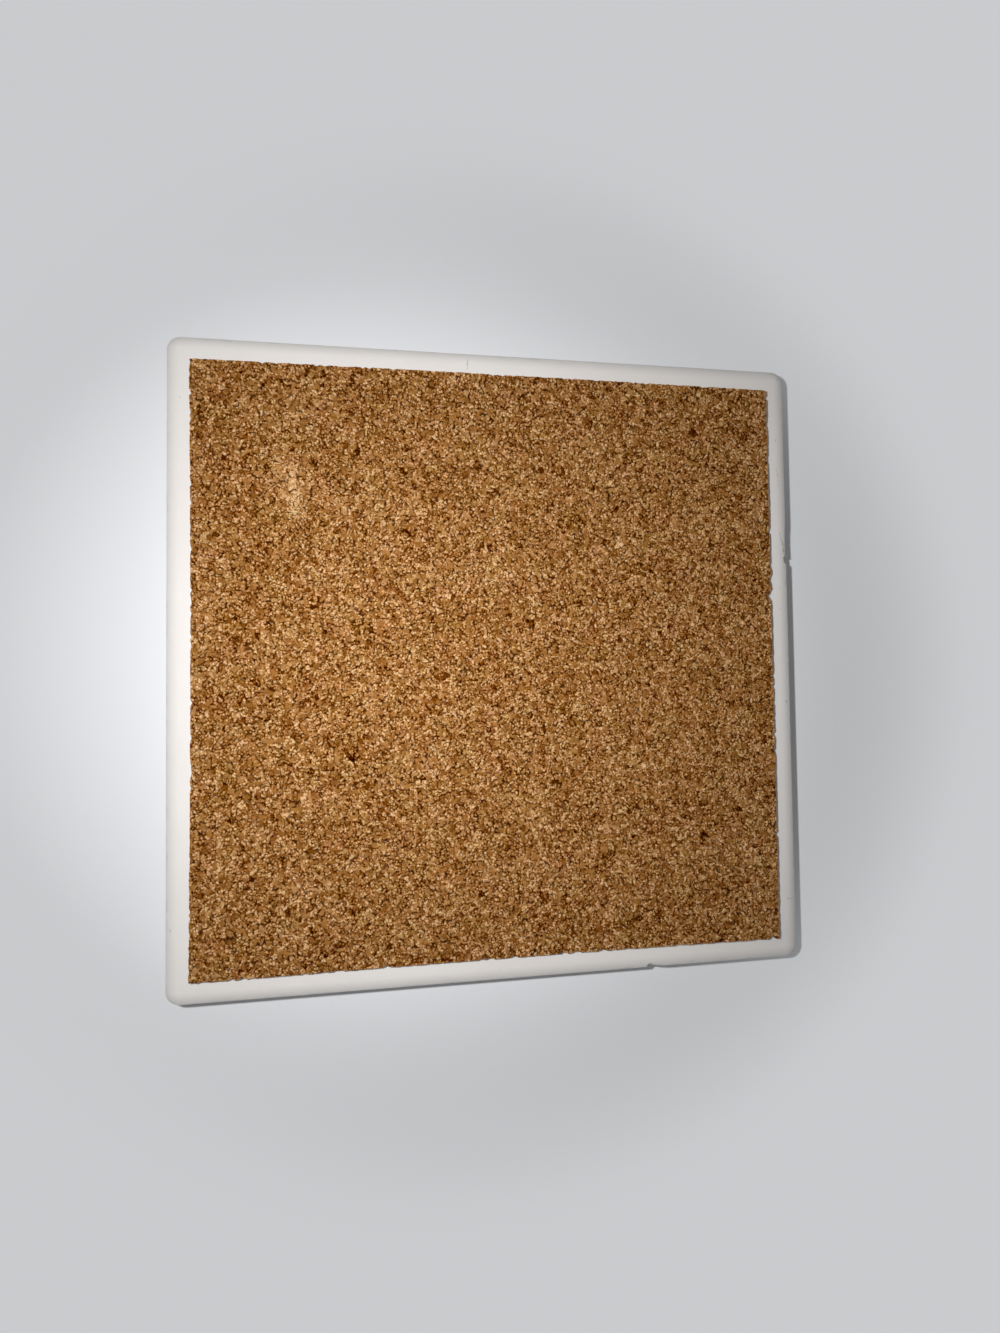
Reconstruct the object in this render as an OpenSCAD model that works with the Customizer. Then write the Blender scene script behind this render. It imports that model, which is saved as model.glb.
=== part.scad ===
// Square ceramic drink coaster with a cork backing, stored as it lies when turned over:
// the drinking face is down on the table and the cork points up. Millimetres, +Z up.
// The origin is the middle of the drinking face.

/* [Ceramic tile] */
// Side of the square tile, wall to wall
tile_side = 100; // [60:1:160]
// Thickness of the tile, face to face
tile_thickness = 8; // [5:0.5:14]
// Radius of the four upright corners, seen from above
tile_corner_r = 2.1; // [2:0.1:16]
// Width of the band along the back face's edge that curves down towards the wall
pillow_width = 2.1; // [1:0.1:6]
// Height that this band falls before it reaches the wall
pillow_drop = 0.6; // [0.2:0.05:1.5]
// Small radius left on the arris where the band meets the wall
arris_r = 0.3; // [0.1:0.05:0.8]
// Radius rolled onto the edge between the wall and the drinking face
face_edge_r = 1.25; // [0.5:0.25:2.5]

/* [Cork backing] */
// Width of the bare ceramic rim left around the cork
rim_width = 4.75; // [3:0.25:16]
// Thickness of the cork sheet
cork_thickness = 2; // [1:0.25:6]
// Radius that the cutting die leaves on the cork's corners
cork_corner_r = 0.3; // [0.2:0.1:3]

/* [Adhesive] */
// Thickness of the glue film between the tile and the cork
glue_thickness = 0.1; // [0.05:0.05:0.5]
// Distance that the glue stops short of the cork's cut edge
glue_setback = 0.6; // [0.2:0.1:4]

/* [Hidden] */
// Smoothness of every round form
$fn = 96;
// Extra reach of a cutting shape past the face that it cuts
cut_over = 1;
// No edge form is wider than the corner that it runs around
pillow_reach = min(pillow_width, tile_corner_r);
face_r = min(face_edge_r, tile_corner_r);
// Radius of the arc that leaves the back face level and falls by pillow_drop over its reach
pillow_r = (pow(pillow_reach, 2) + pow(pillow_drop, 2)) / (2 * pillow_drop);
// Slope of that arc where the arris takes over, and the height of the arris' centre
arris_slope = asin((pillow_reach - arris_r) / (pillow_r - arris_r));
arris_z = tile_thickness - pillow_r + (pillow_r - arris_r) * cos(arris_slope);
// Length of a straight side between two corners
straight_side = tile_side - 2 * tile_corner_r;
// Plan sizes of the sheets, each set in from the piece that it lies on
cork_side = tile_side - 2 * rim_width;
glue_side = cork_side - 2 * glue_setback;
glue_corner_r = cork_corner_r;
// Heights at which the layers meet
tile_back_z = tile_thickness;
cork_seat_z = tile_back_z + glue_thickness;

// What a round of radius r takes off a square outer corner that points to +X +Y,
// with the centre of the round at the origin
module corner_waste(r) {
    difference() {
        square(r + cut_over);
        circle(r);
    }
}

// What the arris takes off between the end of the pillowed band and the wall,
// with the centre of its round at the origin
module arris_waste() {
    far = arris_r + cut_over;
    difference() {
        polygon([[0, 0], [far, 0], [far, far], far * [sin(arris_slope), cos(arris_slope)]]);
        circle(arris_r);
    }
}

// Section through the tile's border: X runs outward to the wall, Y runs up from the drinking face.
// The back face curves down in a pillowed band to a small arris, and the wall rolls over into the
// drinking face.
module border_section(reach) {
    difference() {
        square([reach, tile_thickness]);
        translate([reach - pillow_reach, tile_thickness - pillow_r])
            corner_waste(pillow_r);
        translate([reach - arris_r, arris_z])
            arris_waste();
        translate([reach - face_r, face_r])
            mirror([0, 1])
                corner_waste(face_r);
    }
}

// Border along one straight side, lying along Y on the +X side of the tile
module straight_border() {
    translate([straight_side / 2, straight_side / 2, 0])
        rotate([90, 0, 0])
            linear_extrude(height = straight_side)
                border_section(tile_corner_r);
}

// The same section turned through a quarter circle to carry the border round a corner
module corner_border() {
    translate([straight_side / 2, straight_side / 2, 0])
        rotate_extrude(angle = 90)
            border_section(tile_corner_r);
}

// Flat sheet with small round corners, centred on the Z axis and standing on Z = 0
module sheet(side, corner_r, thickness) {
    inner = side - 2 * corner_r;
    linear_extrude(height = thickness)
        union() {
            square([side, inner], center = true);
            square([inner, side], center = true);
            for (x = [-inner / 2, inner / 2], y = [-inner / 2, inner / 2])
                translate([x, y])
                    circle(corner_r);
        }
}

// Pressed tile: a flat core, with the border section swept once around it
module ceramic_tile() {
    color("#efebe3")
        union() {
            translate([-straight_side / 2, -straight_side / 2, 0])
                cube([straight_side, straight_side, tile_thickness]);
            for (turn = [0 : 90 : 270])
                rotate([0, 0, turn]) {
                    straight_border();
                    corner_border();
                }
        }
}

// Glue film, set in from the cork's edge so that none squeezes out onto the rim
module adhesive_film() {
    color("#d9cda6")
        translate([0, 0, tile_back_z])
            sheet(glue_side, glue_corner_r, glue_thickness);
}

// Die-cut cork sheet, seated on the glue in the middle of the tile's back
module cork_backing() {
    color("#a5763f")
        translate([0, 0, cork_seat_z])
            sheet(cork_side, cork_corner_r, cork_thickness);
}

ceramic_tile();
adhesive_film();
cork_backing();
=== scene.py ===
# %% [markdown]
# # A ceramic drink coaster with a cork back
# The coaster is a square tile of unglazed ceramic with a sheet of pressed cork glued to its back.
# It lies turned over, so the cork faces the camera and a white rim of tile shows around it.
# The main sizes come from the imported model, which is loaded first and stays where it is.

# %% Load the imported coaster
import math

import bmesh
import bpy
import numpy as np
from mathutils import Matrix, Vector
from mathutils.geometry import delaunay_2d_cdt


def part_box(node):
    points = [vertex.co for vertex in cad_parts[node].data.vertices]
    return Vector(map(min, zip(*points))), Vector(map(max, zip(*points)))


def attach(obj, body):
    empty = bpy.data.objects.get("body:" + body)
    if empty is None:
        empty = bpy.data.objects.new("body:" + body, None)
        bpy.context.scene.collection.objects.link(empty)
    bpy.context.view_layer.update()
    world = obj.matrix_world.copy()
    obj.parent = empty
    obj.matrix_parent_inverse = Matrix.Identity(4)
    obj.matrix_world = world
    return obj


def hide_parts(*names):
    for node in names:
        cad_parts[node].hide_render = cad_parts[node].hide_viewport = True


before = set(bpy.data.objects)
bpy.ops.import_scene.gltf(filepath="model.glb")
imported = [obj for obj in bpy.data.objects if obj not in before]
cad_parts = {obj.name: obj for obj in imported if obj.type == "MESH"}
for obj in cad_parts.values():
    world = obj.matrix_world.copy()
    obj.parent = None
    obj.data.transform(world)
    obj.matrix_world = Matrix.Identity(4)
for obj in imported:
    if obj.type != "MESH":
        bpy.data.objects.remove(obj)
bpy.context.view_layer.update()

MM = 0.001
tile_low, tile_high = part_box("ceramic_tile")
cork_low, cork_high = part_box("cork_backing")
print("tile", [round(v / MM, 2) for v in tile_high - tile_low], "mm")
print("cork", [round(v / MM, 2) for v in cork_high - cork_low], "mm")

# %% [markdown]
# ## Camera
# The picture was taken from close above with a very wide lens, so the sides of the square lean together.
# A longer lens from further away would draw the same outline nearly square, so the focal length matters
# as much as the place. The place was solved from the four sides of the tile and the corners of the cork,
# for a focal length close to the one that fits them best.

# %% Place the camera
picture_height = 1333
focal_pixels = 480
sensor_long_side = 36.0
camera_place = Vector((-8.32, -2.22, 83.89)) * MM
camera_target = Vector((-0.22, -0.62, 10.1)) * MM
camera_roll = math.radians(0.735)
nearest_seen = 5 * MM


def aim(place, target, roll):
    """World matrix of a camera that looks at target with +Y as its upper edge, then rolls clockwise."""
    ahead = (target - place).normalized()
    level = (Vector((0, 1, 0)) - ahead * ahead.y).normalized()
    side = ahead.cross(level)
    up = level * math.cos(roll) + side * math.sin(roll)
    turn = Matrix((ahead.cross(up), up, -ahead)).transposed()
    return Matrix.Translation(place) @ turn.to_4x4()


def place_in_scene(name, data):
    """A new object with the given data, linked to the scene."""
    made = bpy.data.objects.new(name, data)
    bpy.context.scene.collection.objects.link(made)
    return made


lens = bpy.data.cameras.new("close_wide_lens")
lens.sensor_width = sensor_long_side
lens.lens = focal_pixels / picture_height * sensor_long_side
lens.clip_start = nearest_seen
camera = place_in_scene("camera", lens)
camera.matrix_world = aim(camera_place, camera_target, camera_roll)
bpy.context.scene.camera = camera
print("lens", round(lens.lens, 2), "mm")

# %% [markdown]
# ## Helpers for materials
# Every finish is made from shader nodes. A few short helpers keep that readable. They convert a colour,
# add a node and fill or link its inputs, or do a sum.

# %% Node helpers
def srgb(red, green, blue):
    """A colour given from 0 to 255, as the linear colour that a shader takes."""
    shares = (red / 255, green / 255, blue / 255)
    linear = [s / 12.92 if s <= 0.04045 else ((s + 0.055) / 1.055) ** 2.4 for s in shares]
    return (*linear, 1.0)


def feed(tree, socket, value):
    """Links an output to an input, or sets the input to a plain value."""
    if isinstance(value, bpy.types.NodeSocket):
        tree.links.new(value, socket)
    else:
        socket.default_value = value


def add(tree, kind, settings=None, values=(), **inputs):
    """Adds a node. Inputs are given in their order, or by name with _ for a space."""
    node = tree.nodes.new(kind)
    for name, value in (settings or {}).items():
        setattr(node, name, value)
    for socket, value in zip(node.inputs, values):
        feed(tree, socket, value)
    for name, value in inputs.items():
        feed(tree, node.inputs[name.replace("_", " ")], value)
    return node


def sum_of(tree, operation, *values, clamp=False):
    """Output of a Math node."""
    return add(tree, "ShaderNodeMath", {"operation": operation, "use_clamp": clamp}, values).outputs[0]


print("node helpers ready")

# %% [markdown]
# ## Light
# A small lamp hangs beside the lens, a little to its left and just as high, as a camera's flash does.
# From there all four pillowed edges turn away from it and go a little grey. The lens looks past nearly all
# of the shadow, and sees it only as a narrow band along the right side and a thin line below the tile.
# A wide soft lamp and an even pale sky fill the rest. Together they light a level surface so that a colour
# comes out about as bright as it is written.
# The camera and the gloss see a paler sky than the one that lights the coaster, as a plain background.

# %% Set up the lamps and the sky
near_place = Vector((-20, 3, 84)) * MM
near_radius = 1.2 * MM
near_share = 0.86
soft_place = Vector((-220, 60, 560)) * MM
soft_side = 260 * MM
soft_share = 0.08
sky_share = 0.06
table_white = srgb(250, 252, 255)
seen_white = 0.62


def hang_lamp(light, place, share, spread):
    """Hangs a light so that it lights the middle of the table to the given share of white.
    Spread is 1 for an area lamp, and 4 for a point lamp, which shines to all sides."""
    light.energy = share * spread * math.pi ** 2 * place.length_squared / place.normalized().z
    lamp = place_in_scene(light.name, light)
    lamp.location = place
    lamp.rotation_euler = (-place).to_track_quat("-Z", "Y").to_euler()
    lamp.visible_camera = False
    print(light.name, round(light.energy, 2), "W")


def seen_share(tree):
    """1 for rays from the camera, from gloss and through glass, and 0 for rays that gather light."""
    path = add(tree, "ShaderNodeLightPath").outputs
    seen = sum_of(tree, "MAXIMUM", path["Is Camera Ray"], path["Is Glossy Ray"])
    return sum_of(tree, "MAXIMUM", seen, path["Is Transmission Ray"])


near_light = bpy.data.lights.new("near_lamp", "POINT")
near_light.shadow_soft_size = near_radius
hang_lamp(near_light, near_place, near_share, spread=4)
soft_light = bpy.data.lights.new("soft_lamp", "AREA")
soft_light.size = soft_side
hang_lamp(soft_light, soft_place, soft_share, spread=1)
sky = bpy.data.worlds.new("even_sky")
sky.use_nodes = True
sky_tree = sky.node_tree
lit = sky_tree.nodes["Background"]
lit.inputs["Color"].default_value = (1, 1, 1, 1)
lit.inputs["Strength"].default_value = sky_share
plain = add(sky_tree, "ShaderNodeBackground", Color=table_white, Strength=seen_white)
choice = (seen_share(sky_tree), lit.outputs[0], plain.outputs[0])
both = add(sky_tree, "ShaderNodeMixShader", values=choice)
sky_tree.links.new(both.outputs[0], sky_tree.nodes["World Output"].inputs["Surface"])
bpy.context.scene.world = sky
bpy.context.scene.view_settings.view_transform = "Standard"

# %% [markdown]
# ## Effects that several finishes share
# Real surfaces are never one flat colour. Two effects are needed in several finishes, so each is a node
# group: a cloudy grain of any size and a scatter of small specks.

# %% Grain and specks
# The smallest speck in radii, and where a speck's soft rim ends, in shares of its own size
smallest_speck = 0.5
speck_fade = 1.5


def new_group(name, vectors, values, output):
    """An empty shader node group: names of its vector inputs, other inputs with their values, one output."""
    group = bpy.data.node_groups.new(name, "ShaderNodeTree")
    for label in vectors:
        group.interface.new_socket(label, in_out="INPUT", socket_type="NodeSocketVector")
    for label, value in values.items():
        socket = group.interface.new_socket(label, in_out="INPUT", socket_type="NodeSocketFloat")
        socket.default_value = value
    group.interface.new_socket(output, in_out="OUTPUT", socket_type="NodeSocketFloat")
    given = group.nodes.new("NodeGroupInput").outputs
    return group, given, group.nodes.new("NodeGroupOutput").inputs[0]


def place_group(tree, group, **inputs):
    """Puts a node group into a material and returns its output."""
    return add(tree, "ShaderNodeGroup", {"node_tree": group}, **inputs).outputs[0]


def make_grain():
    """Cloudy noise from 0 to 1, about 0.5 in the mean, with features of the given size."""
    group, given, result = new_group("grain", ["Place"], {"Size": MM, "Detail": 3.0}, "Value")
    finer = sum_of(group, "DIVIDE", 1.0, given["Size"])
    noise = add(group, "ShaderNodeTexNoise", Vector=given["Place"], Scale=finer, Detail=given["Detail"])
    group.links.new(noise.outputs["Fac"], result)
    return group


def make_specks():
    """Mask of round specks: Spacing apart, in the given Share of places, each of about the given Radius."""
    values = {"Spacing": MM, "Share": 0.1, "Radius": 0.1 * MM}
    group, given, result = new_group("specks", ["Place"], values, "Mask")
    finer = sum_of(group, "DIVIDE", 1.0, given["Spacing"])
    cells = add(group, "ShaderNodeTexVoronoi", Vector=given["Place"], Scale=finer)
    chance = add(group, "ShaderNodeSeparateColor", Color=cells.outputs["Color"])
    chosen = sum_of(group, "LESS_THAN", chance.outputs["Red"], given["Share"])
    reach = sum_of(group, "DIVIDE", given["Radius"], given["Spacing"])
    size = sum_of(group, "ADD", chance.outputs["Green"], smallest_speck)
    reach = sum_of(group, "MULTIPLY", reach, size)
    gap = sum_of(group, "DIVIDE", cells.outputs["Distance"], reach)
    near = sum_of(group, "SUBTRACT", speck_fade, gap, clamp=True)
    group.links.new(sum_of(group, "MULTIPLY", chosen, near), result)
    return group


grain = make_grain()
specks = make_specks()
print("groups", [g.name for g in (grain, specks)])

# %% [markdown]
# ## Table
# The table only has to be plain and pale, and to catch the shadow. It is one large square just under the
# tile. A lamp so close lights only the middle of it. Further out a faint glow, which only the camera and the
# gloss see, makes up for the light that is missing there, so the table is as pale as the background.

# %% Make the table
table_half = 1.5
table_gap = 0.02 * MM
glow_reach = (52 * MM, 100 * MM)


def smooth_share(tree, value, reach):
    """0 up to the start of the reach, 1 from its end on, and a smooth rise between them."""
    return add(tree, "ShaderNodeMapRange", {"interpolation_type": "SMOOTHSTEP"}, Value=value,
               From_Min=reach[0], From_Max=reach[1]).outputs["Result"]


def vector_sum(tree, operation, *values):
    """Outputs of a Vector Math node."""
    return add(tree, "ShaderNodeVectorMath", {"operation": operation}, values).outputs


def lamp_level(tree, place, lamp_place, share):
    """How bright a lamp makes the table at each place. It falls with the cube of the distance to the lamp,
    because further out the light also comes in at a flatter slant."""
    gap = vector_sum(tree, "DISTANCE", place, lamp_place)["Value"]
    nearness = sum_of(tree, "DIVIDE", lamp_place.length, gap)
    return sum_of(tree, "MULTIPLY", sum_of(tree, "POWER", nearness, 3.0), share)


def new_finish(name, roughness):
    """A new material with its Principled shader, and the coordinates that its patterns use."""
    finish = bpy.data.materials.new(name)
    finish.use_nodes = True
    tree = finish.node_tree
    shader = tree.nodes["Principled BSDF"]
    shader.inputs["Roughness"].default_value = roughness
    place = add(tree, "ShaderNodeTexCoord").outputs["Object"]
    return finish, tree, shader, place


def table_finish():
    """Plain matt white, with the glow further out."""
    finish, tree, shader, place = new_finish("table_white", roughness=0.6)
    shader.inputs["Base Color"].default_value = table_white
    shader.inputs["Specular IOR Level"].default_value = 0
    near_level = lamp_level(tree, place, near_place, near_share)
    lit_level = sum_of(tree, "ADD", near_level, lamp_level(tree, place, soft_place, soft_share))
    missing = sum_of(tree, "SUBTRACT", seen_white - sky_share, lit_level, clamp=True)
    distance = vector_sum(tree, "LENGTH", place)["Value"]
    beyond = smooth_share(tree, distance, glow_reach)
    strength = sum_of(tree, "MULTIPLY", sum_of(tree, "MULTIPLY", missing, beyond), seen_share(tree))
    glow = add(tree, "ShaderNodeEmission", Color=table_white, Strength=strength)
    both = add(tree, "ShaderNodeAddShader", values=(shader.outputs[0], glow.outputs[0]))
    tree.links.new(both.outputs[0], tree.nodes["Material Output"].inputs["Surface"])
    return finish


table_mesh = bpy.data.meshes.new("table")
table_corners = [(x * table_half, y * table_half, 0) for x, y in ((-1, -1), (1, -1), (1, 1), (-1, 1))]
table_mesh.from_pydata(table_corners, [], [(0, 1, 2, 3)])
table_mesh.materials.append(table_finish())
table = place_in_scene("table", table_mesh)
table.location.z = -table_gap
print("table", table_half * 2, "m wide")

# %% [markdown]
# ## Section of the tile's border
# The tile is pressed in a die. Its back face curves down in a pillowed band over the last two millimetres,
# ends in a crisp arris, and the upright wall rolls over into the drinking face.
# The border is this one section carried around the square, as a bead follows a frame.

# %% Draw the section
corner_r = 2.1 * MM
pillow_width = 2.1 * MM
pillow_drop = 0.6 * MM
arris_r = 0.3 * MM
face_edge_r = 1.25 * MM
under_cork = 4.0 * MM
tile_half = tile_high.x
tile_thickness = tile_high.z

pillow_r = (pillow_width ** 2 + pillow_drop ** 2) / (2 * pillow_drop)
arris_slope = math.asin((pillow_width - arris_r) / (pillow_r - arris_r))
arris_z = tile_thickness - pillow_r + (pillow_r - arris_r) * math.cos(arris_slope)


def arc(centre_out, centre_up, radius, start, end, steps):
    """Points (outward, up) on a round edge, from the start angle to the end angle."""
    angles = np.linspace(start, end, steps + 1)
    return np.stack([centre_out + radius * np.cos(angles), centre_up + radius * np.sin(angles)], 1)


def border_section(flat_steps=8, pillow_steps=18, arris_steps=6, wall_steps=16, face_steps=12):
    """Points (outward, up) from under the cork, over the back edge, down the wall and in under the face.
    Outward is counted from the line of the corners' centres. On the wall they crowd towards the arris."""
    up = math.pi / 2
    flat_end = corner_r - pillow_width
    pillow_z = tile_thickness - pillow_r
    flat = np.linspace(-under_cork, flat_end, flat_steps + 1)[:-1]
    back = np.stack([flat, np.full(len(flat), tile_thickness)], 1)
    pillow = arc(flat_end, pillow_z, pillow_r, up, up - arris_slope, pillow_steps)
    arris = arc(corner_r - arris_r, arris_z, arris_r, up - arris_slope, 0, arris_steps)[1:]
    wall = arris_z - (arris_z - face_edge_r) * np.linspace(0, 1, wall_steps + 1)[1:-1] ** 2
    wall = np.stack([np.full(len(wall), corner_r), wall], 1)
    face_edge = arc(corner_r - face_edge_r, face_edge_r, face_edge_r, 0, -up, face_steps)
    face = np.stack([flat[::-1], np.zeros(len(flat))], 1)
    return np.concatenate([back, pillow, arris, wall, face_edge, face])


section = border_section()
print("section of", len(section), "points")

# %% [markdown]
# ## Chips
# Knocks have broken the arris in two places, and beside one of them a long thin flake has come off.
# A chip in fired clay is a shell-shaped hollow, so each one is an egg that is pushed into the edge:
# every point of the mesh inside the egg moves out to its surface. A ragged chip is several eggs in a row.
# The stations of the border stand closer together there, so that the broken edge is a real hollow.

# %% Place the stations and the chips
RIGHT, TOP, LEFT, BOTTOM = range(4)
# Each chip, in millimetres: side, distance along it, half of its length, radius of its hollow, depth
chips = np.array([
    (RIGHT, 17.5, 0.42, 1.0, 0.74),
    (RIGHT, 16.95, 0.36, 0.9, 0.62),
    (RIGHT, 20.2, 3.1, 0.9, 0.18),
    (BOTTOM, 24.05, 0.5, 0.95, 0.7),
    (BOTTOM, 24.46, 0.34, 0.9, 0.46),
    (BOTTOM, 24.75, 0.4, 0.8, 0.36),
    (BOTTOM, 25.1, 0.36, 0.75, 0.22),
    (BOTTOM, 25.6, 0.6, 0.7, 0.15),
]) * (1, MM, MM, MM, MM)
coarse_step = 1.4 * MM
fine_step = 0.09 * MM
fine_margin = 5 * fine_step
straight = tile_half - corner_r


def stations_along(side):
    """Distances along one straight side, to a thousandth of a millimetre, close together near its chips."""
    places = list(np.linspace(-straight, straight, int(2 * straight / coarse_step) + 1))
    for chip_side, middle, half_length, *_ in chips:
        if chip_side == side:
            near = half_length + fine_margin
            places += list(np.arange(middle - near, middle + near, fine_step))
    return np.unique(np.round(places, 6))


def side_directions(side):
    """Outward direction of a side, and the direction along it, anticlockwise."""
    turn = side * math.pi / 2
    return np.array([math.cos(turn), math.sin(turn)]), np.array([-math.sin(turn), math.cos(turn)])


def ring_of_stations(corner_steps=16):
    """Each station's place on the line of the corners' centres, its outward direction and its side.
    A corner belongs to the side before it."""
    centres, outward, on_side = [], [], []
    for side in range(4):
        out, along = side_directions(side)
        for distance in stations_along(side):
            centres.append(out * straight + along * distance)
            outward.append(out)
        for step in range(1, corner_steps):
            angle = (side + step / corner_steps) * math.pi / 2
            centres.append((out + along) * straight)
            outward.append(np.array([math.cos(angle), math.sin(angle)]))
        on_side += [side] * (len(centres) - len(on_side))
    return np.array(centres), np.array(outward), np.array(on_side)


centres, outward, on_side = ring_of_stations()
print(len(centres), "stations around the tile")

# %% [markdown]
# ## Sweep the section
# Every station puts the section in place, and the chips are pressed in. Under the cork the rings shrink
# towards the middle of the tile, where a flat face on each side will close them.

# %% Sweep the section and press in the chips
chip_lean = math.radians(38)
chip_grit = 0.05 * MM
chip_chance = np.random.default_rng(seed=3)


def sweep():
    """Points of the border, one ring of stations for each point of the section."""
    rings = []
    for out, up in section:
        flat = centres + outward * out if out >= 0 else centres * (1 + out / straight)
        rings.append(np.column_stack([flat, np.full(len(flat), up)]))
    return np.array(rings)


def press_chips(points):
    """Pushes the chips into the points, and returns how deep each point lies in a chip, 0 to 1."""
    hollow = np.zeros(points.shape[:-1])
    for side, distance, half_length, radius, depth in chips:
        out, along = side_directions(side)
        lean = np.array([*(out * math.cos(chip_lean)), math.sin(chip_lean)])
        arris = np.array([*(out * (tile_half - arris_r) + along * distance), arris_z]) + lean * arris_r
        along = np.array([*along, 0])
        mouth = math.sqrt(radius ** 2 - (radius - depth) ** 2)
        shrink = mouth / half_length
        away = points - arris - lean * (radius - depth)
        away += (away @ along)[..., None] * along * (shrink - 1)
        gap = np.linalg.norm(away, axis=-1)
        inside = gap < radius
        hollow[inside] = np.maximum(hollow[inside], (radius - gap[inside]) / depth)
        push = away[inside] * (radius / gap[inside] - 1)[:, None]
        push += (push @ along)[..., None] * along * (1 / shrink - 1)
        grit = chip_chance.uniform(0, chip_grit, inside.sum())
        points[inside] += push - grit[:, None] * lean
    return np.clip(hollow, 0, 1)


tile_points = sweep()
hollow = press_chips(tile_points)
print(len(tile_points), "rings,", int((hollow > 0).sum()), "points in chips")

# %% [markdown]
# ## Tile mesh
# The rings are joined into faces, and points that fall together are welded, so that the mesh is closed.
# When the coaster leaves Blender, its finishes are painted onto square pictures. A map says where each face
# lies on that square, so that nothing overlaps and the parts that show get the most room.

# %% Build the tile's mesh
arris_band_reach = 0.7 * MM
weld_reach = 1e-7
# Lay of the tile's map, in shares of the picture's side
strip_length = 0.7
strip_margin = 0.01
strip_gap = 0.012
tile_back_half = 0.05
tile_back_centre = (0.5, 0.72)
tile_face_half = 0.2
tile_face_centre = (0.22, 0.79)


def write_map(mesh, places):
    """Stores the place of each face corner on the picture, as a map named OFBake."""
    layer = mesh.uv_layers.new(name="OFBake")
    layer.uv.foreach_set("vector", np.asarray(places, dtype=np.float32).ravel())


def tile_map(points):
    """One strip of the picture for each side with its corner, and a square for each face."""
    arris_ring = centres + outward * corner_r
    step = np.linalg.norm(np.roll(arris_ring, -1, axis=0) - arris_ring, axis=1)
    lap = np.cumsum(step) - step
    lap -= np.array([lap[on_side == side][0] for side in range(4)])[on_side]
    walk = np.linalg.norm(np.diff(section, axis=0), axis=1)
    scale = strip_length / (lap + step).max()
    down = np.concatenate([[0], np.cumsum(walk)]) * scale
    base = strip_margin + on_side * (down[-1] + strip_gap)
    near = strip_margin + lap * scale
    far = strip_margin + (lap + step) * scale
    strips = []
    for upper, lower in zip(down, down[1:]):
        around = ((near, upper), (near, lower), (far, lower), (far, upper))
        strips.append(np.stack([np.stack([lap_place, base + level], 1) for lap_place, level in around], 1))
    back = points[0, :, :2] / tile_half * tile_back_half + tile_back_centre
    face = points[-1, ::-1, :2] / tile_half * tile_face_half + tile_face_centre
    return np.concatenate([np.array(strips).reshape(-1, 2), back, face])


def tile_mesh():
    """The tile as one closed mesh. Each point stores how deep in a chip it is and how near the arris."""
    rings, count = tile_points.shape[:2]
    here = np.arange(count)
    after = np.roll(here, -1)
    faces = []
    for ring in range(rings - 1):
        upper, lower = ring * count, (ring + 1) * count
        faces += np.column_stack([upper + here, lower + here, lower + after, upper + after]).tolist()
    faces.append(here.tolist())
    faces.append(((rings - 1) * count + here[::-1]).tolist())
    mesh = bpy.data.meshes.new("tile")
    mesh.from_pydata(tile_points.reshape(-1, 3).tolist(), [], faces)
    arris = np.array([corner_r, arris_z])
    # How near each point is to the arris; the finish paints smudged dirt and shade along it
    arris_nearness = np.exp(-(np.linalg.norm(section - arris, axis=1) / arris_band_reach) ** 2)
    mesh.attributes.new("chip", "FLOAT", "POINT").data.foreach_set("value", hollow.ravel())
    mesh.attributes.new("edge", "FLOAT", "POINT").data.foreach_set("value", np.repeat(arris_nearness, count))
    write_map(mesh, tile_map(sweep()))
    clean = bmesh.new()
    clean.from_mesh(mesh)
    bmesh.ops.remove_doubles(clean, verts=clean.verts, dist=weld_reach)
    clean.to_mesh(mesh)
    clean.free()
    mesh.polygons.foreach_set("use_smooth", [True] * len(mesh.polygons))
    return mesh


tile = place_in_scene("tile", tile_mesh())
print("tile mesh", len(tile.data.polygons), "faces")

# %% [markdown]
# ## Hairline cracks
# Thin cracks and nicks cross the rim here and there. One node group draws such a line.
# No crack is drawn with a ruler, so the line is ragged: noise shakes every place before it is drawn.

# %% Hairlines on the rim
# Size of the waves that make a crack ragged, and how far they push it
crack_wave = 0.5 * MM
crack_shake = 0.7 * MM
noise_middle = (0.5, 0.5, 0.5)
# Each hairline, in millimetres across the tile: start, end, half width, strength
hairlines = [
    ((-4.6, 47.0), (-4.6, 48.7), 0.14, 0.5),
    ((48.2, 32.8), (48.48, 30.0), 0.18, 0.22),
    ((48.2, 37.9), (48.22, 37.7), 0.16, 0.45),
    ((48.45, 21.8), (48.75, 20.8), 0.16, 0.45),
    ((48.75, 20.8), (49.0, 20.0), 0.2, 0.55),
    ((49.0, 20.0), (49.62, 17.6), 0.24, 0.65),
    ((49.55, 13.4), (49.6, 12.7), 0.12, 0.6),
    ((48.2, -40.2), (49.6, -40.2), 0.14, 0.5),
    ((48.95, -6.8), (49.0, -7.2), 0.16, 0.5),
    ((48.9, -8.9), (48.92, -9.15), 0.16, 0.5),
    ((48.6, 48.2), (49.3, 48.7), 0.12, 0.5),
    ((-49.25, -38.7), (-49.18, -39.0), 0.15, 0.5),
    ((-0.6, -47.8), (-0.5, -49.0), 0.1, 0.2),
    ((31.0, -49.4), (31.7, -49.38), 0.15, 0.55),
]


def shaken(tree, place, size, reach):
    """The place, pushed about by noise of the given size, by a share of the reach to each side."""
    noise = add(tree, "ShaderNodeTexNoise", Vector=place, Scale=1 / size).outputs["Color"]
    push = vector_sum(tree, "SUBTRACT", noise, noise_middle)[0]
    return vector_sum(tree, "MULTIPLY_ADD", push, (reach, reach, reach), place)[0]


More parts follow.
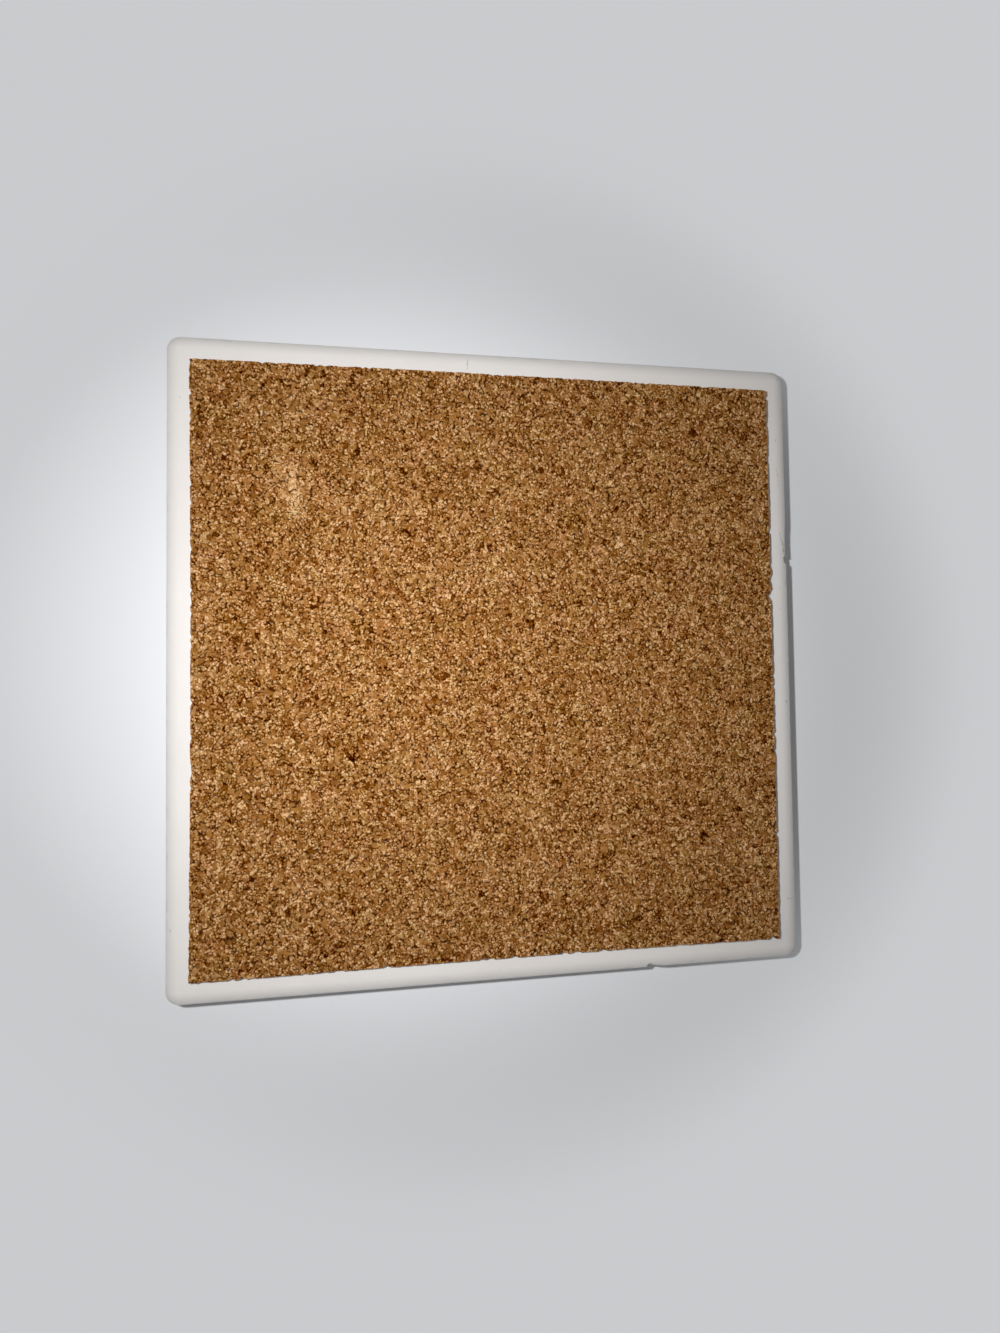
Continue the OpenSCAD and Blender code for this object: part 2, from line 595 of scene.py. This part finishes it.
def make_hairline():
    """Mask of a thin ragged line from Start to End, fading out over its Width."""
    group, given, result = new_group("hairline", ["Place", "Start", "End"], {"Width": 0.1 * MM}, "Mask")
    along = vector_sum(group, "SUBTRACT", given["End"], given["Start"])[0]
    ragged = shaken(group, given["Place"], crack_wave, crack_shake)
    from_start = vector_sum(group, "SUBTRACT", ragged, given["Start"])[0]
    reach = sum_of(group, "DIVIDE", vector_sum(group, "DOT_PRODUCT", from_start, along)["Value"],
                   vector_sum(group, "DOT_PRODUCT", along, along)["Value"], clamp=True)
    nearest = vector_sum(group, "MULTIPLY", along, reach)[0]
    gap = vector_sum(group, "DISTANCE", from_start, nearest)["Value"]
    line = sum_of(group, "SUBTRACT", 1.0, sum_of(group, "DIVIDE", gap, given["Width"]), clamp=True)
    group.links.new(line, result)
    return group


def on_rim(across, along):
    """Point of the rim above a place on the tile, which follows the pillowed band down."""
    beyond = max(abs(across), abs(along)) * MM - (tile_half - pillow_width)
    fall = pillow_r - math.sqrt(pillow_r ** 2 - max(beyond, 0) ** 2)
    return Vector((across * MM, along * MM, tile_thickness - fall))


def crack_mask(tree, place):
    """Mask of all the hairlines, each at its own strength."""
    cracks = 0.0
    for start, end, width, strength in hairlines:
        line = place_group(tree, hairline, Place=place, Start=on_rim(*start), End=on_rim(*end),
                           Width=width * MM)
        cracks = sum_of(tree, "MAXIMUM", cracks, sum_of(tree, "MULTIPLY", line, strength))
    return cracks


hairline = make_hairline()
print(len(hairlines), "hairlines")

# %% [markdown]
# ## Unglazed ceramic
# Bisque is a warm white, matt body with a very fine grain. It shows faint clouds of tone, a few dark specks
# of iron, pinholes and some hairline cracks. The chips are grey, darker the deeper they go, as dirt and as
# painted shade in the hollows, and smudges along the arris are grey as dirt and as painted shade.

# %% Finish of the tile
bisque_white = srgb(244, 241, 238)
bisque_warm = srgb(238, 232, 227)
# Grey of the dirt in cracks and pinholes, and of the dirt and painted shade in the chips and along the arris
bisque_dirt_and_shade = srgb(92, 86, 82)
speck_brown = srgb(112, 92, 74)
speck_strength = 0.7
smudge_gain = 1.6
smudge_cut = 0.72
rough_base = 0.48
rough_pores = 0.16
uneven_weight = 1.5
# How dark each kind of dirt and painted shade is
crack_dirt = 1.0
# Chips: dirt, and painted shade that darkens the deeper hollows
chip_dirt_and_shade = 0.5
# Arris: smudged dirt, and painted shade along the edge
arris_grime_and_shade_weight = 0.42
pinhole_dirt = 0.3
# Which sockets of a mix node are for colours: the share, first and second, and the result
MIX_INPUTS = (0, 6, 7)
MIX_RESULT = 2


def colour_between(tree, share, first, second, blend="MIX"):
    """Output of a colour mix: first at share 0, second at share 1."""
    node = add(tree, "ShaderNodeMix", {"data_type": "RGBA", "blend_type": blend})
    for number, value in zip(MIX_INPUTS, (share, first, second)):
        feed(tree, node.inputs[number], value)
    return node.outputs[MIX_RESULT]


def stored(tree, name):
    """A value that the mesh stores for each of its points or faces."""
    return add(tree, "ShaderNodeAttribute", {"attribute_name": name}).outputs["Fac"]


def emboss(tree, shader, height, strength, distance):
    """Gives a shader a fine relief."""
    bump = add(tree, "ShaderNodeBump", Strength=strength, Distance=distance, Height=height)
    tree.links.new(bump.outputs["Normal"], shader.inputs["Normal"])


def bisque_finish():
    """Warm white with clouds, specks, dirt, and painted shade in the chips and along the arris, and a relief
    of pores, cracks and pinholes.
    """
    finish, tree, shader, place = new_finish("bisque_ceramic", roughness=rough_base)
    clouds = place_group(tree, grain, Place=place, Size=14 * MM, Detail=2.0)
    pores = place_group(tree, grain, Place=place, Size=0.16 * MM, Detail=2.0)
    uneven = place_group(tree, grain, Place=place, Size=1.2 * MM, Detail=3.0)
    smudges = place_group(tree, grain, Place=place, Size=2.2 * MM, Detail=4.0)
    iron = place_group(tree, specks, Place=place, Spacing=3.2 * MM, Share=0.05, Radius=0.1 * MM)
    pinholes = place_group(tree, specks, Place=place, Spacing=1.5 * MM, Share=0.12, Radius=0.07 * MM)
    cracks = crack_mask(tree, place)
    smudges = sum_of(tree, "MULTIPLY_ADD", smudges, smudge_gain, -smudge_cut, clamp=True)
    # Grey smudges along the arris: dirt, and painted shade
    arris_grime_and_shade = sum_of(tree, "MULTIPLY", stored(tree, "edge"), smudges)
    dirt_and_shade = 0.0
    # The chips darken the deeper they go, as dirt and painted shade in the hollows
    for mark, weight in ((cracks, crack_dirt), (stored(tree, "chip"), chip_dirt_and_shade),
                         (arris_grime_and_shade, arris_grime_and_shade_weight), (pinholes, pinhole_dirt)):
        dirt_and_shade = sum_of(tree, "MAXIMUM", dirt_and_shade, sum_of(tree, "MULTIPLY", mark, weight))
    colour = colour_between(tree, clouds, bisque_white, bisque_warm)
    iron = sum_of(tree, "MULTIPLY", iron, speck_strength)
    colour = colour_between(tree, iron, colour, speck_brown)
    colour = colour_between(tree, dirt_and_shade, colour, bisque_dirt_and_shade)
    tree.links.new(colour, shader.inputs["Base Color"])
    rough = sum_of(tree, "ADD", rough_base, sum_of(tree, "MULTIPLY", pores, rough_pores))
    tree.links.new(rough, shader.inputs["Roughness"])
    shader.inputs["Specular IOR Level"].default_value = 0.35
    hollows = sum_of(tree, "MAXIMUM", cracks, pinholes)
    height = sum_of(tree, "MULTIPLY_ADD", uneven, uneven_weight, pores)
    height = sum_of(tree, "SUBTRACT", height, hollows)
    emboss(tree, shader, height, strength=0.35, distance=0.03 * MM)
    return finish


tile.data.materials.append(bisque_finish())
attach(tile, "root")
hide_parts("ceramic_tile")
print("bisque finish on", tile.name)

# %% [markdown]
# ## Cork granules
# Pressed cork is thousands of granules under a millimetre across, glued side by side and sanded flat.
# Two neighbours touch where they meet, and where three meet they often leave a small three-sided pit.
# A net of triangles between the granules' centres gives just that shape: two granules touch about the middle
# of each line of the net, and a pit has its bottom in the middle of a triangle.
# The granules along the cut edge come first. Some are bitten back, and in one place the edge is torn.

# %% Granules along the cut edge
chance = np.random.default_rng(seed=7)
cork_half = cork_high.x
cork_corner_r = 0.3 * MM
edge_step = 0.56 * MM
edge_nudge = 0.3
small_bite = 0.03 * MM
bite_share = 0.15
bite_depth = 0.2 * MM
bite_least = 0.2
# Torn places on the right edge: distance along it, half of the width, and depth, negative where it bulges
tears = np.array([(14.7, 0.6, -0.1), (13.3, 0.5, 0.2), (11.8, 0.5, -0.15), (10.9, 0.8, 0.42)]) * MM


def bite_at(side, distance):
    """How far the granule at this place is bitten back from the cut."""
    bite = abs(chance.normal(0, small_bite))
    if chance.random() < bite_share:
        bite += chance.uniform(bite_least, 1) * bite_depth
    if side == RIGHT:
        bite += sum(depth * math.exp(-((distance - middle) / width) ** 2) for middle, width, depth in tears)
    return bite


def edge_granules():
    """Centres of the granules along the cut edge, anticlockwise, the outward direction at each, and how far
    each one is bitten back. The first granule of each side sits on a corner and stays there."""
    run = 2 * (cork_half - cork_corner_r)
    quarter = cork_corner_r * math.pi / 2
    count = int((run + quarter) / edge_step)
    centres, outs, bites = [], [], []
    for side in range(4):
        out, along = side_directions(side)
        for step in range(count):
            nudge = chance.uniform(-edge_nudge, edge_nudge) if step else 0
            on = (step + nudge) / count * (run + quarter) - quarter / 2
            reach = min(max(on, 0), run)
            bend = (on - reach) / cork_corner_r
            lean = out * math.cos(bend) + along * math.sin(bend)
            bite = bite_at(side, reach - run / 2) if step else 0
            pivot = out * (cork_half - cork_corner_r) + along * (reach - run / 2)
            centres.append(pivot + lean * (cork_corner_r - bite))
            outs.append(lean)
            bites.append(bite)
    return np.array(centres), np.array(outs), np.array(bites)


rim_centres, rim_outs, rim_bites = edge_granules()
rim_count = len(rim_centres)
print(rim_count, "granules on the cut edge")

# %% [markdown]
# ## Granules inside the sheet
# The other granules keep clear of the edge and its tears. The sheet was stuck down by hand, so its sides
# are then bent a little and all of it is shifted.

# %% Granules inside the sheet
granule_pitch = np.array([0.48, 0.78]) * MM
large_share = 0.2
granule_knock = 0.5
edge_clear = 0.4 * MM
tear_clear = 0.75 * MM
tear_margin = 1.6
# How far the ends of each side stand out compared with its middle
bows = {RIGHT: 0.0, TOP: -0.16 * MM, LEFT: 0.25 * MM, BOTTOM: 0.22 * MM}
cork_shift = np.array([-0.13, -0.07]) * MM
# Mean of the square along a side, taken off so that a bow doesn't move the side as a whole
mean_square = 1 / 3


def inner_granules():
    """Centres of the other granules: an even lay with every centre knocked out of place. Where one is left
    out, its neighbours grow into larger granules."""
    count = (2 * cork_half / granule_pitch).astype(int)
    lay = (np.indices(count).reshape(2, -1).T + 0.5) / count * 2 - 1
    lay = lay[chance.random(len(lay)) > large_share]
    knock = chance.uniform(-granule_knock, granule_knock, lay.shape)
    centres = lay * cork_half + knock * granule_pitch
    across, along = centres.T
    torn = np.any([np.abs(along - middle) < tear_margin * width for middle, width, _ in tears], axis=0)
    torn &= across > cork_half - tear_clear
    clear = np.abs(centres).max(1) < cork_half - edge_clear
    return centres[clear & ~torn]


def lay_by_hand(points):
    """Bends the sides of the sheet a little and shifts it."""
    moved = points + cork_shift
    for side, bow in bows.items():
        out, along = side_directions(side)
        share = np.clip(points @ out / cork_half, 0, None)
        bend = bow * ((points @ along / cork_half) ** 2 - mean_square)
        moved += (share * bend)[:, None] * out
    return moved


granules = np.concatenate([lay_by_hand(rim_centres), lay_by_hand(inner_granules())])
print(len(granules), "granules in all")

# %% [markdown]
# ## Net between the granules
# Blender can draw the net itself: a Delaunay triangulation joins each point to its natural neighbours.
# The loop of edge granules is given as a fence, so nothing is drawn across the bites in the edge.

# %% Draw the net
inside_only = 1
same_place = 1e-9


def net_of(points, fence):
    """Triangles of the net, anticlockwise, and its lines. Also the line on each side of each triangle."""
    loop = [(i, (i + 1) % fence) for i in range(fence)]
    places = [Vector(p) for p in points]
    _, _, drawn, origins, _, _ = delaunay_2d_cdt(places, loop, [], inside_only, same_place)
    first = np.array([given[0] if given else -1 for given in origins])
    triangles = first[np.array(drawn)]
    triangles = triangles[(triangles >= 0).all(1)]
    sides = np.sort(triangles[:, [[0, 1], [1, 2], [2, 0]]], axis=2)
    lines, where = np.unique(sides.reshape(-1, 2), axis=0, return_inverse=True)
    return triangles, lines, where.reshape(-1, 3)


triangles, lines, sides = net_of(granules, rim_count)
print(len(triangles), "gaps and", len(lines), "contacts")

# %% [markdown]
# ## Heights and tones
# Sanding leaves the granules nearly level, but each one is a small crumb that falls away towards its
# neighbours. Some sit a little low, and a few are lost altogether. Some of the gaps between them are pits.
# Each granule has a tone of its own, and each point says how clear of the gaps it is: 1 in the middle of a
# granule, less where it touches another, and about 0 at the bottom of a pit. The finish paints the cork
# darker by this, as glue and painted shade in the gaps and pits and in the hollow of a lost granule.

# %% Give each point its height and tone
dome_drop = 0.03 * MM
contact_drop = (0.03 * MM, 0.14 * MM)
# How clear contacts and pit bottoms are, which sets how dark the finish paints them as shade
contact_clear = (0.05, 0.75)
contact_lean = (0.38, 0.62)
pit_share = 0.45
pit_depth = (0.06 * MM, 0.26 * MM)
pit_clear = (0.0, 0.2)
dark_share = 0.02
dark_tone = (0.3, 0.7)
lost_share = 0.006
lost_drop = 0.2 * MM
# A lost granule is also painted darker, as shade in its hollow
lost_clear = 0.35
bite_slump = 0.9
tone_middle = 0.55
tone_spread = 0.08
top_z = cork_high.z
bottom_z = cork_low.z

tone = chance.normal(tone_middle, tone_spread, len(granules))
drop = np.abs(chance.normal(0, dome_drop, len(granules)))
dark = chance.random(len(granules)) < dark_share
tone[dark] *= chance.uniform(*dark_tone, dark.sum())
lost = chance.random(len(granules)) < lost_share
drop[lost] += lost_drop
clear = np.where(lost, lost_clear, 1.0)
# Marks of use: place across and along, reach, change of tone, depth. Lengths are in millimetres
cork_marks = [
    (-31.3, 28.6, 1.1, 0.3, 0.0),
    (-30.9, 26.6, 1.1, 0.3, 0.0),
    (-30.8, 24.5, 1.1, 0.3, 0.0),
    (-30.5, 22.5, 1.1, 0.26, 0.0),
    (18.2, 29.1, 1.8, 0.15, 0.0),
    (19.3, 18.9, 0.5, 1.2, 0.0),
    (-22.6, -13.9, 0.5, -0.9, 0.2),
    (32.3, -28.2, 0.5, -0.9, 0.2),
]
for across, along, reach, change, depth in cork_marks:
    away = granules - (across * MM, along * MM)
    share = np.exp(-(away ** 2).sum(1) / (reach * MM) ** 2)
    tone += change * share
    drop += depth * MM * share

lean = chance.uniform(*contact_lean, len(lines))[:, None]
contact_xy = granules[lines[:, 0]] * lean + granules[lines[:, 1]] * (1 - lean)
contact_z = top_z - drop[lines].mean(1) - chance.uniform(*contact_drop, len(lines))
contact_clears = chance.uniform(*contact_clear, len(lines))
open_gap = chance.random(len(triangles)) < pit_share
pit_xy = granules[triangles[open_gap]].mean(1)
pit_z = contact_z[sides[open_gap]].min(1) - chance.uniform(*pit_depth, len(pit_xy))
pit_clears = chance.uniform(*pit_clear, len(pit_xy))
top_points = np.concatenate([
    np.column_stack([granules, top_z - drop]),
    np.column_stack([contact_xy, contact_z]),
    np.column_stack([pit_xy, pit_z])])
top_points[:rim_count, 2] -= np.maximum(rim_bites, 0) * bite_slump
top_clears = np.concatenate([clear, contact_clears, pit_clears])
print(len(pit_xy), "pits")

# %% [markdown]
# ## Faces of the top
# Each granule is a low tent: triangles from its middle to its contacts, in order around it. A closed gap is
# one triangle and a pit is three.

# %% Tents, gaps and pits
contact_start = len(granules)
pit_start = contact_start + len(lines)


def granule_tents():
    """Triangles from each granule's middle to its contacts, and the granule of each. Those on the edge are
    open towards the outside."""
    here = np.concatenate([lines[:, 0], lines[:, 1]])
    there = np.concatenate([lines[:, 1], lines[:, 0]])
    contact = np.tile(np.arange(len(lines)), 2) + contact_start
    way = granules[there] - granules[here]
    angle = np.arctan2(way[:, 1], way[:, 0])
    outward_angle = np.zeros(len(granules))
    outward_angle[:rim_count] = np.arctan2(rim_outs[:, 1], rim_outs[:, 0])
    angle = (angle - outward_angle[here]) % (2 * math.pi)
    order = np.lexsort((angle, here))
    owner, ring = here[order], contact[order]
    starts = np.searchsorted(owner, np.arange(len(granules)))
    follow = np.arange(1, len(ring) + 1)
    last = np.append(owner[1:] != owner[:-1], True)
    follow[last] = starts[owner[last]]
    tents = np.column_stack([owner, ring, ring[follow]])
    kept = ~(last & (owner < rim_count))
    return tents[kept].tolist(), owner[kept]


def gap_faces():
    """One triangle for each closed gap and three for each pit, and the granule that gives each its tone."""
    faces = (sides[~open_gap] + contact_start).tolist()
    owners = [triangles[~open_gap, 0]]
    contacts = sides[open_gap] + contact_start
    bottoms = np.arange(len(contacts)) + pit_start
    for k in range(3):
        faces += np.column_stack([contacts[:, k - 1], contacts[:, k], bottoms]).tolist()
        owners.append(triangles[open_gap, k])
    return faces, np.concatenate(owners)


tents, tent_owner = granule_tents()
gaps, gap_owner = gap_faces()
print(len(tents), "faces of granules and", len(gaps), "of gaps")

# %% [markdown]
# ## Cut edge
# The edge hangs from the outer granules in rows of crumbs, set like the fields of a draughts board with the
# gaps between them, which are painted darker as shade in their recesses, and a flat face closes the back.

# %% Rows of crumbs
side_rows = 7
gap_recess = (0.05 * MM, 0.22 * MM)
# How clear the gaps in the cut edge are, which sets their painted shade
gap_clear = (0.0, 0.6)
crumb_slide = 0.08 * MM
crumb_tone = (0.53, 0.12)
side_start = pit_start + len(pit_xy)


def edge_loop():
    """Points around the top: each outer granule, then its contact with the next."""
    line_number = {tuple(pair): n for n, pair in enumerate(lines.tolist())}
    loop = []
    for i in range(rim_count):
        pair = tuple(sorted((i, (i + 1) % rim_count)))
        loop += [i, contact_start + line_number[pair]]
    return loop


def cut_edge(loop, loop_points):
    """Rows of crumbs below the loop: their points, how clear each is, their faces and the tone of each face.
    The last face closes the back."""
    count = len(loop)
    here = np.arange(count)
    after = np.roll(here, -1)
    out = np.repeat(rim_outs, 2, axis=0)
    along = np.column_stack([-out[:, 1], out[:, 0]])
    points, clears, faces, tones = [], [], [], []
    upper, upper_tone = np.array(loop), np.repeat(tone[:rim_count], 2)
    for row in range(side_rows):
        in_gap = (here + row) % 2 == 0
        lower = side_start + row * count + here
        lower_tone = chance.normal(*crumb_tone, count)
        near = np.where(in_gap, lower, upper)
        far = np.where(in_gap, upper[after], lower[after])
        faces += np.column_stack([lower, far, upper]).tolist()
        faces += np.column_stack([near, lower[after], upper[after]]).tolist()
        tones.append(np.where(in_gap, upper_tone, lower_tone))
        tones.append(np.where(in_gap, lower_tone[after], upper_tone[after]))
        level = 1 - (row + 1) / side_rows
        slide = chance.uniform(-crumb_slide, crumb_slide, (count, 2)) * (level > 0)
        gap_depth = chance.uniform(*gap_recess, count)
        crumb_depth = abs(chance.normal(0, small_bite, count))
        recess = np.where(in_gap, gap_depth, crumb_depth)
        flat = loop_points[:, :2] - out * recess[:, None] + along * slide[:, :1]
        height = bottom_z + (loop_points[:, 2] - bottom_z) * level + slide[:, 1]
        points.append(np.column_stack([flat, height]))
        # Points in the gaps are less clear, so the finish paints shade there
        clears.append(np.where(in_gap, chance.uniform(*gap_clear, count), 1.0))
        upper, upper_tone = lower, lower_tone
    faces.append(upper[::-1].tolist())
    tones.append([tone_middle])
    return np.concatenate(points), np.concatenate(clears), faces, np.concatenate(tones)


loop = edge_loop()
edge_points, edge_clears, edge_faces, edge_tones = cut_edge(loop, top_points[loop])
print(side_rows, "rows of", len(loop), "points")

# %% [markdown]
# ## Cork mesh
# The top, the edge and the back make one closed mesh. On its picture the top lies as seen from above, with
# the edge folded out around it. The hidden back gets a small square.

# %% Build the cork
# Lay of the cork's map, in shares of the picture's side
cork_top_share = 0.93
cork_fold_gap = 0.004
cork_back_share = 0.008
cork_back_centre = 0.994
picture_middle = 0.5


def cork_map(mesh, points, top_corners):
    """Place of each face corner on the picture. The first corners are those of the top."""
    scale = cork_top_share / (2 * cork_half)
    flat = points[:, :2] * scale + picture_middle
    folded = flat.copy()
    edge = np.concatenate([loop, np.arange(side_start, len(points))])
    out = np.tile(np.repeat(rim_outs, 2, axis=0), (1 + side_rows, 1))
    depth = (top_z - points[edge, 2:]) * scale + cork_fold_gap
    folded[edge] = np.tile(flat[loop], (1 + side_rows, 1)) + out * depth
    corner = np.empty(len(mesh.loops), dtype=np.int32)
    mesh.loops.foreach_get("vertex_index", corner)
    places = flat[corner]
    places[top_corners:] = folded[corner[top_corners:]]
    back = flat[corner[-len(loop):]]
    places[-len(loop):] = (back - picture_middle) * cork_back_share + cork_back_centre
    return places


def cork_mesh():
    """The sheet as one closed mesh, with the tone of each face and how clear each point is."""
    top_faces = tents + gaps
    points = np.concatenate([top_points, edge_points])
    mesh = bpy.data.meshes.new("cork")
    mesh.from_pydata(points.tolist(), [], top_faces + edge_faces)
    write_map(mesh, cork_map(mesh, points, 3 * len(top_faces)))
    tones = np.concatenate([tone[tent_owner], tone[gap_owner], edge_tones])
    mesh.attributes.new("tone", "FLOAT", "FACE").data.foreach_set("value", tones)
    clears = np.concatenate([top_clears, edge_clears])
    mesh.attributes.new("clear", "FLOAT", "POINT").data.foreach_set("value", clears)
    mesh.validate()
    return mesh


cork = place_in_scene("cork", cork_mesh())
print("cork mesh", len(cork.data.polygons), "faces")

# %% [markdown]
# ## Cork finish
# A granule's tone picks its colour on a ramp from dark bark to pale cork, and it darkens close to a gap:
# partly the glue that binds the sheet, partly painted shade in the gaps and pits. In most places the
# granules are torn into smaller crumbs, each with a tone of its own, and painted shade darkens the seams
# between them.
# Elsewhere they are whole.
# The bark came from several trees, so the sheet drifts between a reddish and a greenish brown.

# %% Finish of the cork
cork_ramp = [
    (0.0, srgb(42, 10, 0)),
    (0.16, srgb(76, 29, 0)),
    (0.36, srgb(118, 66, 12)),
    (0.57, srgb(161, 112, 58)),
    (0.78, srgb(195, 151, 102)),
    (1.0, srgb(228, 189, 144)),
]
# Dark brown of the glue and of the shade painted into the gaps
gap_glue_and_shade = srgb(62, 22, 0)
gap_fade = (0.05, 0.5)
crumb_size = 0.31 * MM
crumb_shift = 0.26 * MM
seam_reach = (0.3, 0.8)
whole_size = 0.9 * MM
whole_share = (0.36, 0.52)
crumb_weight = 0.42
# Painted shade in the seams between crumbs
seam_weight = -0.52
cloud_weight = 0.16
drift_gain = 3.0
drift_cut = 1.0
pattern_middle = 0.5
reddish = (1.0, 0.94, 0.94, 1.0)
greenish = (0.97, 0.99, 0.91, 1.0)


def ramp(tree, share, stops):
    """Output of a colour ramp through stops of (place, colour)."""
    node = add(tree, "ShaderNodeValToRGB", Fac=share)
    elements = node.color_ramp.elements
    for _ in stops[2:]:
        elements.new(0.5)
    for element, (place, colour) in zip(elements, stops):
        element.position = place
        element.color = colour
    return node.outputs["Color"]


def swing(tree, pattern, weight, base):
    """The base, raised or lowered by the weight times how far a pattern is from its middle."""
    away = sum_of(tree, "SUBTRACT", pattern, pattern_middle)
    return sum_of(tree, "MULTIPLY_ADD", away, weight, base)


def torn_crumbs(tree, place):
    """Tone of each crumb and a mask of the seams between crumbs, which the finish paints dark as shade. Both
    are 0.5 where granules are whole.
    """
    torn = shaken(tree, place, crumb_size, crumb_shift)
    cells = add(tree, "ShaderNodeTexVoronoi", Vector=torn, Scale=1 / crumb_size)
    tones = add(tree, "ShaderNodeSeparateColor", Color=cells.outputs["Color"]).outputs["Red"]
    seams = smooth_share(tree, cells.outputs["Distance"], seam_reach)
    patches = place_group(tree, grain, Place=place, Size=whole_size, Detail=1.0)
    broken = smooth_share(tree, patches, whole_share)
    return [swing(tree, pattern, broken, pattern_middle) for pattern in (tones, seams)]


def cork_finish():
    """Granules and crumbs in browns from the ramp, dark in the gaps from glue and painted shade, with seams
    painted dark as shade and no gloss.
    """
    finish, tree, shader, place = new_finish("pressed_cork", roughness=0.9)
    shade = stored(tree, "tone")
    crumbs, seams = torn_crumbs(tree, place)
    clouds = place_group(tree, grain, Place=place, Size=9 * MM, Detail=2.0)
    # Crumb tones and clouds are the cork's own tone; the seams darken it as painted shade
    for pattern, weight in ((crumbs, crumb_weight), (seams, seam_weight), (clouds, cloud_weight)):
        shade = swing(tree, pattern, weight, shade)
    drift = place_group(tree, grain, Place=place, Size=3.5 * MM, Detail=3.0)
    drift = sum_of(tree, "MULTIPLY_ADD", drift, drift_gain, -drift_cut, clamp=True)
    tint = colour_between(tree, drift, reddish, greenish)
    colour = colour_between(tree, 1.0, ramp(tree, shade, cork_ramp), tint, "MULTIPLY")
    # Glue and painted shade: the nearer the bottom of a gap or pit, the darker
    clear = smooth_share(tree, stored(tree, "clear"), gap_fade)
    colour = colour_between(tree, clear, gap_glue_and_shade, colour)
    tree.links.new(colour, shader.inputs["Base Color"])
    shader.inputs["Specular IOR Level"].default_value = 0
    emboss(tree, shader, crumbs, strength=0.5, distance=0.05 * MM)
    return finish


cork.data.materials.append(cork_finish())
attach(cork, "root")
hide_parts("cork_backing")
print("cork finish on", cork.name)

# %% [markdown]
# ## Glue
# The glue is a thin film of dull amber between the cork and the tile. It stops short of the cork's edge and
# stays out of sight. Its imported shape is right, so it is kept and only gets a finish.

# %% Finish of the glue
glue_amber = srgb(206, 184, 132)
glue_pale = srgb(226, 212, 172)


def glue_finish():
    """Amber with paler swirls and small bubbles."""
    finish, tree, shader, place = new_finish("cured_glue", roughness=0.5)
    swirls = place_group(tree, grain, Place=place, Size=2.5 * MM, Detail=3.0)
    bubbles = place_group(tree, specks, Place=place, Spacing=1.1 * MM, Share=0.3, Radius=0.2 * MM)
    colour = colour_between(tree, swirls, glue_amber, glue_pale)
    tree.links.new(colour, shader.inputs["Base Color"])
    height = sum_of(tree, "ADD", swirls, bubbles)
    emboss(tree, shader, height, strength=0.3, distance=0.04 * MM)
    return finish


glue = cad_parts["adhesive_film"]
glue.material_slots[0].material = glue_finish()
print("glue finish on", glue.name)
